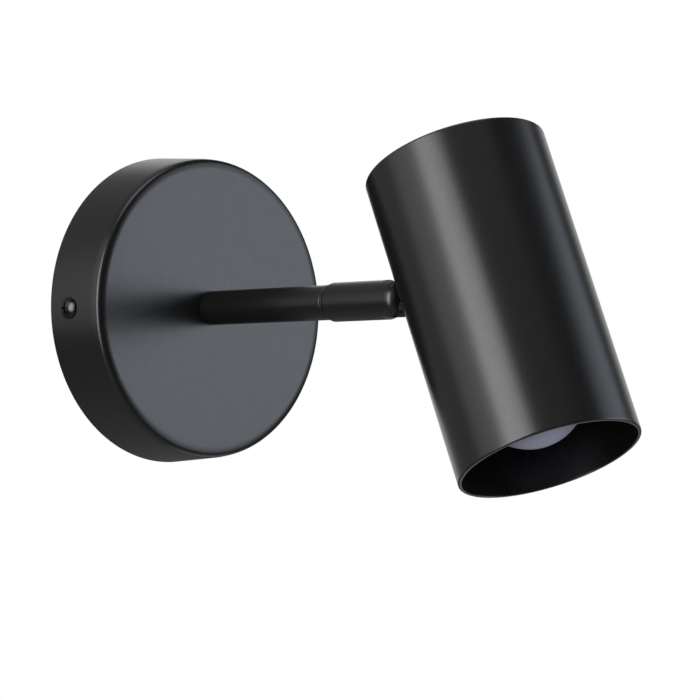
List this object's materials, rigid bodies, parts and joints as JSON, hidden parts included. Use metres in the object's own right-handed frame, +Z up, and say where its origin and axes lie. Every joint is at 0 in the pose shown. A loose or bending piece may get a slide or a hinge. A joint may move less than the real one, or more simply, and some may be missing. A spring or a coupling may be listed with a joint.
{
  "type": "wall spotlight",
  "caption": "Wall spotlight with a round canopy, a straight arm, a fork swivel and a tubular head that turns about the arm and tilts on a cross pin.",
  "frame": {"origin": "centre of the canopy's back edge on the wall plane, which is also the middle of the two wall screw slots", "axes": "-Y points out of the wall along the arm, +Z up, +X to the right when facing the wall"},
  "size_m": [0.1024, 0.1986, 0.1145],
  "materials": {
    "black_coat": "satin black powder coat, fine grain",
    "black_screw": "black passivated steel",
    "zinc_steel": "zinc plated steel",
    "plated_brass": "plain brass",
    "white_polymer": "white moulded plastic",
    "clear_polymer": "translucent terminal plastic",
    "grey_polymer": "black moulded bush",
    "fibre": "dark friction fibre",
    "ceramic": "glazed ceramic lampholder",
    "opal": "opal diffuser",
    "lamp_shell": "dark grey lamp housing",
    "board": "white circuit board",
    "brown_wire": "brown insulation",
    "blue_wire": "blue insulation",
    "green_wire": "green and yellow insulation"
  },
  "bodies": {
    "base": {"arm_collar": "black_coat", "arm_nipple": "zinc_steel", "arm_tube": "black_coat", "canopy": "black_coat", "canopy_side_screws": "black_screw", "earth_lead": "green_wire", "earth_ring_tag": "zinc_steel", "earth_screw": "plated_brass", "live_lead": "brown_wire", "neutral_lead": "blue_wire", "nipple_cable_bush": "grey_polymer", "nipple_lock_washer": "zinc_steel", "nipple_locknut": "zinc_steel", "swivel_friction_ring": "fibre", "terminal_block": "clear_polymer", "terminal_clamp_screws": "zinc_steel", "terminal_clamps": "plated_brass", "terminal_fixing_screw": "zinc_steel", "wall_bracket": "zinc_steel"},
    "swivel": {"swivel_body": "black_coat", "swivel_stud": "zinc_steel", "swivel_spring_washer": "zinc_steel", "hinge_pin": "black_screw", "hinge_friction_washers": "fibre"},
    "head": {"hinge_stem": "black_coat", "stem_outer_saddle": "black_coat", "stem_inner_saddle": "zinc_steel", "stem_nut": "zinc_steel", "spot_tube": "black_coat", "rear_cap": "black_coat", "lamp_diffuser": "opal", "led_board": "board", "lamp_housing": "lamp_shell", "lamp_base": "white_polymer", "lamp_pins": "zinc_steel", "lampholder": "ceramic", "lampholder_strap": "zinc_steel", "lampholder_screws": "zinc_steel", "live_head_lead": "brown_wire", "neutral_head_lead": "blue_wire"}
  },
  "joints": [
    {"name": "head_swivel", "type": "hinge", "parent": "base", "child": "swivel", "pos_m": [0, -0.0795, 0], "axis": [0, -1, 0], "range_deg": [-172.9, 177.1]},
    {"name": "head_tilt", "type": "hinge", "parent": "swivel", "child": "head", "pos_m": [0, -0.1076, 0], "axis": [0.9993, 0, -0.0366], "range_deg": [-65.9, 114.1]}
  ]
}
